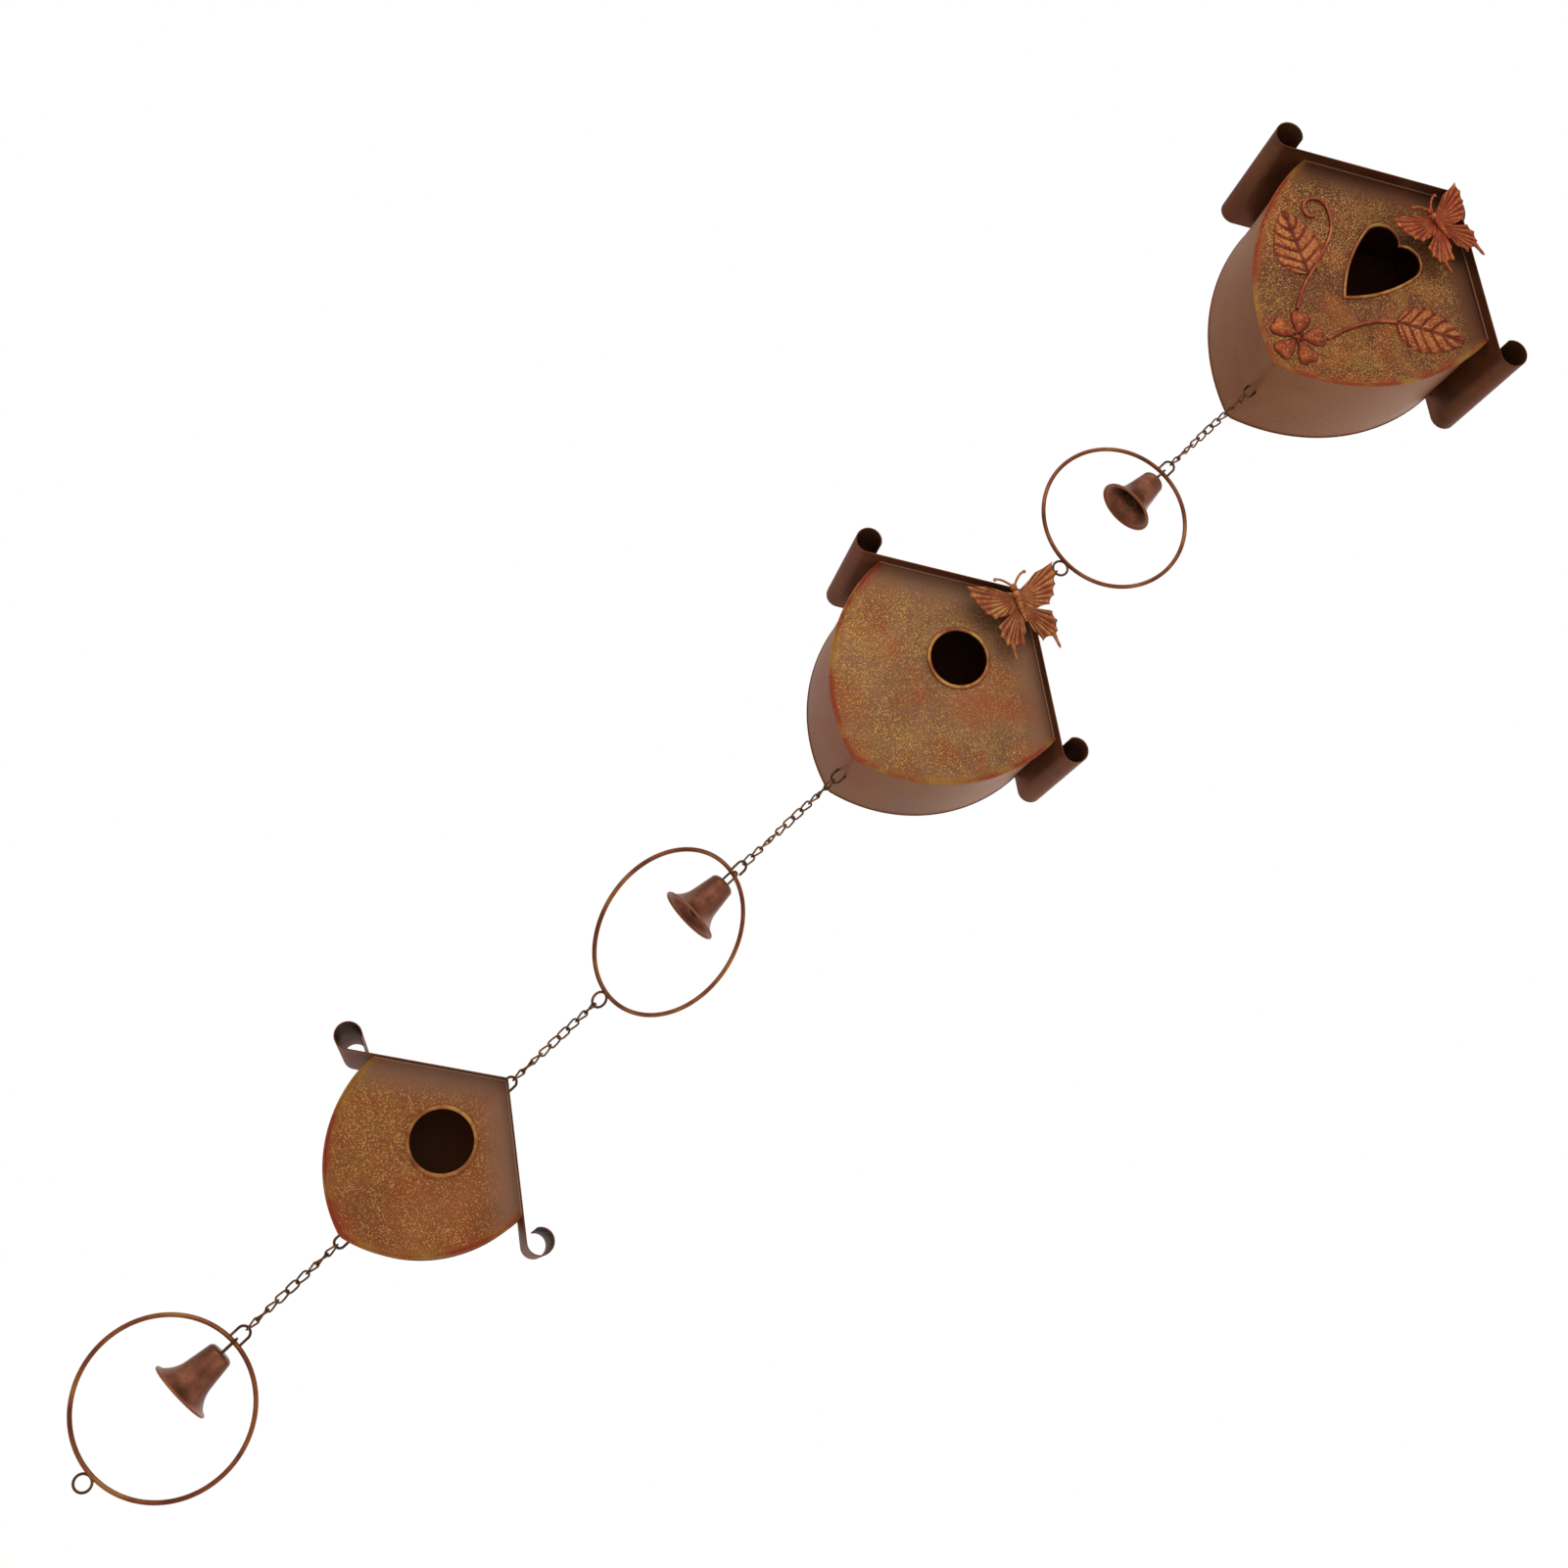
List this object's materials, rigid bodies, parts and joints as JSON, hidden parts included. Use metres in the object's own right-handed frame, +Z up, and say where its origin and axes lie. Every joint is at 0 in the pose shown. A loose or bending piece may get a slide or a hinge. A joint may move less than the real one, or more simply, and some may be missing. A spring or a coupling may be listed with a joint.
{
  "type": "rain chain",
  "caption": "Hanging rain chain: sheet-metal birdhouses with rolled scroll roofs alternate with wire hoops that carry small bells, linked by curb chain.",
  "frame": {"origin": "point of the hanging loop that the hook bears on", "axes": "+Z up along the hanging chain, -Y towards the front with the heart and round openings, +X to the right seen from the front"},
  "size_m": [0.2188, 0.0974, 1.1614],
  "materials": {
    "chain_wire": "dark bronze",
    "eye_wire": "dark bronze",
    "hoop_wire": "aged copper",
    "clapper_tag": "dull bronze",
    "bell_metal": "flamed copper",
    "roof_sheet": "dark brown patina",
    "wall_sheet": "satin grey-brown",
    "front_sheet": "stippled ochre patina",
    "rim_wire": "bright copper",
    "ornament_casting": "flamed copper"
  },
  "bodies": {
    "house_1": {"house_1_front_plate": "front_sheet", "house_1_back_plate": "wall_sheet", "house_1_side_wrap": "wall_sheet", "house_1_roof": "roof_sheet", "hanging_loop": "eye_wire", "heart_rim": "rim_wire", "vine_left": "ornament_casting", "vine_right": "ornament_casting", "leaf_left": "ornament_casting", "leaf_right": "ornament_casting", "flower": "ornament_casting", "house_1_butterfly": "ornament_casting", "house_1_bottom_eye": "eye_wire"},
    "house_2": {"house_2_top_eye": "eye_wire", "house_2_front_plate": "front_sheet", "house_2_back_plate": "wall_sheet", "house_2_side_wrap": "wall_sheet", "house_2_roof": "roof_sheet", "house_2_rim": "rim_wire", "house_2_butterfly": "ornament_casting", "house_2_bottom_eye": "eye_wire"},
    "house_3": {"house_3_top_eye": "eye_wire", "house_3_front_plate": "front_sheet", "house_3_back_plate": "wall_sheet", "house_3_side_wrap": "wall_sheet", "house_3_roof": "roof_sheet", "house_3_rim": "rim_wire", "house_3_bottom_eye": "eye_wire"},
    "hoop_1": {"hoop_1": "hoop_wire", "hoop_1_top_eye": "eye_wire", "hoop_1_bottom_eye": "eye_wire"},
    "bell_1": {"bell_1_shell": "bell_metal", "bell_1_bail": "eye_wire"},
    "clapper_1": {"bell_1_clapper": "clapper_tag"},
    "hoop_2": {"hoop_2": "hoop_wire", "hoop_2_top_eye": "eye_wire", "hoop_2_bottom_eye": "eye_wire"},
    "bell_2": {"bell_2_shell": "bell_metal", "bell_2_bail": "eye_wire"},
    "clapper_2": {"bell_2_clapper": "clapper_tag"},
    "hoop_3": {"hoop_3": "hoop_wire", "hoop_3_top_eye": "eye_wire", "hoop_3_bottom_eye": "eye_wire"},
    "bell_3": {"bell_3_shell": "bell_metal", "bell_3_bail": "eye_wire"},
    "clapper_3": {"bell_3_clapper": "clapper_tag"},
    "chain_1_upper": {"chain_1_upper": "chain_wire"},
    "chain_1_lower": {"chain_1_lower": "chain_wire"},
    "chain_2_upper": {"chain_2_upper": "chain_wire"},
    "chain_2_lower": {"chain_2_lower": "chain_wire"},
    "chain_3_upper": {"chain_3_upper": "chain_wire"},
    "chain_3_lower": {"chain_3_lower": "chain_wire"},
    "chain_4_upper": {"chain_4_upper": "chain_wire"},
    "chain_4_lower": {"chain_4_lower": "chain_wire"},
    "chain_5_upper": {"chain_5_upper": "chain_wire"},
    "chain_5_lower": {"chain_5_lower": "chain_wire"}
  },
  "joints": [
    {"name": "chain_1_swing", "type": "hinge", "parent": "house_1", "child": "chain_1_upper", "pos_m": [0, 0, -0.22623], "axis": [1, 0, 0], "range_deg": [-35, 35]},
    {"name": "chain_1_bend", "type": "hinge", "parent": "chain_1_upper", "child": "chain_1_lower", "pos_m": [0, 0, -0.25294], "axis": [-0.2079, 0.9781, 0], "range_deg": [-35, 35]},
    {"name": "hoop_1_swing", "type": "hinge", "parent": "chain_1_lower", "child": "hoop_1", "pos_m": [0, 0, -0.29853], "axis": [-1, 0, 0], "range_deg": [-35, 35]},
    {"name": "chain_2_swing", "type": "hinge", "parent": "hoop_1", "child": "chain_2_upper", "pos_m": [0, 0, -0.41043], "axis": [-1, 0, 0], "range_deg": [-35, 35]},
    {"name": "chain_2_bend", "type": "hinge", "parent": "chain_2_upper", "child": "chain_2_lower", "pos_m": [0, 0, -0.43714], "axis": [-0.4067, -0.9135, 0], "range_deg": [-35, 35]},
    {"name": "house_2_swing", "type": "hinge", "parent": "chain_2_lower", "child": "house_2", "pos_m": [0, 0, -0.44913], "axis": [1, 0, 0], "range_deg": [-35, 35]},
    {"name": "chain_3_swing", "type": "hinge", "parent": "house_2", "child": "chain_3_upper", "pos_m": [0, 0, -0.60836], "axis": [1, 0, 0], "range_deg": [-35, 35]},
    {"name": "chain_3_bend", "type": "hinge", "parent": "chain_3_upper", "child": "chain_3_lower", "pos_m": [0, 0, -0.63507], "axis": [-0.4163, 0.9092, 0], "range_deg": [-35, 35]},
    {"name": "hoop_2_swing", "type": "hinge", "parent": "chain_3_lower", "child": "hoop_2", "pos_m": [0, 0, -0.68066], "axis": [-0.7431, -0.6691, 0], "range_deg": [-35, 35]},
    {"name": "chain_4_swing", "type": "hinge", "parent": "hoop_2", "child": "chain_4_upper", "pos_m": [0, 0, -0.80056], "axis": [-0.7431, -0.6691, 0], "range_deg": [-35, 35]},
    {"name": "chain_4_bend", "type": "hinge", "parent": "chain_4_upper", "child": "chain_4_lower", "pos_m": [0, 0, -0.82727], "axis": [0.8315, -0.5556, 0], "range_deg": [-35, 35]},
    {"name": "house_3_swing", "type": "hinge", "parent": "chain_4_lower", "child": "house_3", "pos_m": [0, 0, -0.85942], "axis": [1, 0, 0], "range_deg": [-35, 35]},
    {"name": "chain_5_swing", "type": "hinge", "parent": "house_3", "child": "chain_5_upper", "pos_m": [0, 0, -0.98766], "axis": [1, 0, 0], "range_deg": [-35, 35]},
    {"name": "chain_5_bend", "type": "hinge", "parent": "chain_5_upper", "child": "chain_5_lower", "pos_m": [0, 0, -1.01437], "axis": [-0.5, 0.866, 0], "range_deg": [-35, 35]},
    {"name": "hoop_3_swing", "type": "hinge", "parent": "chain_5_lower", "child": "hoop_3", "pos_m": [0, 0, -1.04652], "axis": [-1, 0, 0], "range_deg": [-35, 35]},
    {"name": "bell_1_swing", "type": "hinge", "parent": "hoop_1", "child": "bell_1", "pos_m": [0, 0, -0.30843], "axis": [1, 0, 0], "range_deg": [-50, 50]},
    {"name": "clapper_1_swing", "type": "hinge", "parent": "bell_1", "child": "clapper_1", "pos_m": [0, 0, -0.31933], "axis": [0, 1, 0], "range_deg": [-14, 14]},
    {"name": "bell_2_swing", "type": "hinge", "parent": "hoop_2", "child": "bell_2", "pos_m": [0, 0, -0.69056], "axis": [0.7431, 0.6691, 0], "range_deg": [-50, 50]},
    {"name": "clapper_2_swing", "type": "hinge", "parent": "bell_2", "child": "clapper_2", "pos_m": [0, 0, -0.70146], "axis": [-0.6691, 0.7431, 0], "range_deg": [-14, 14]},
    {"name": "bell_3_swing", "type": "hinge", "parent": "hoop_3", "child": "bell_3", "pos_m": [0, 0, -1.05642], "axis": [1, 0, 0], "range_deg": [-50, 50]},
    {"name": "clapper_3_swing", "type": "hinge", "parent": "bell_3", "child": "clapper_3", "pos_m": [0, 0, -1.06732], "axis": [0, 1, 0], "range_deg": [-14, 14]}
  ]
}
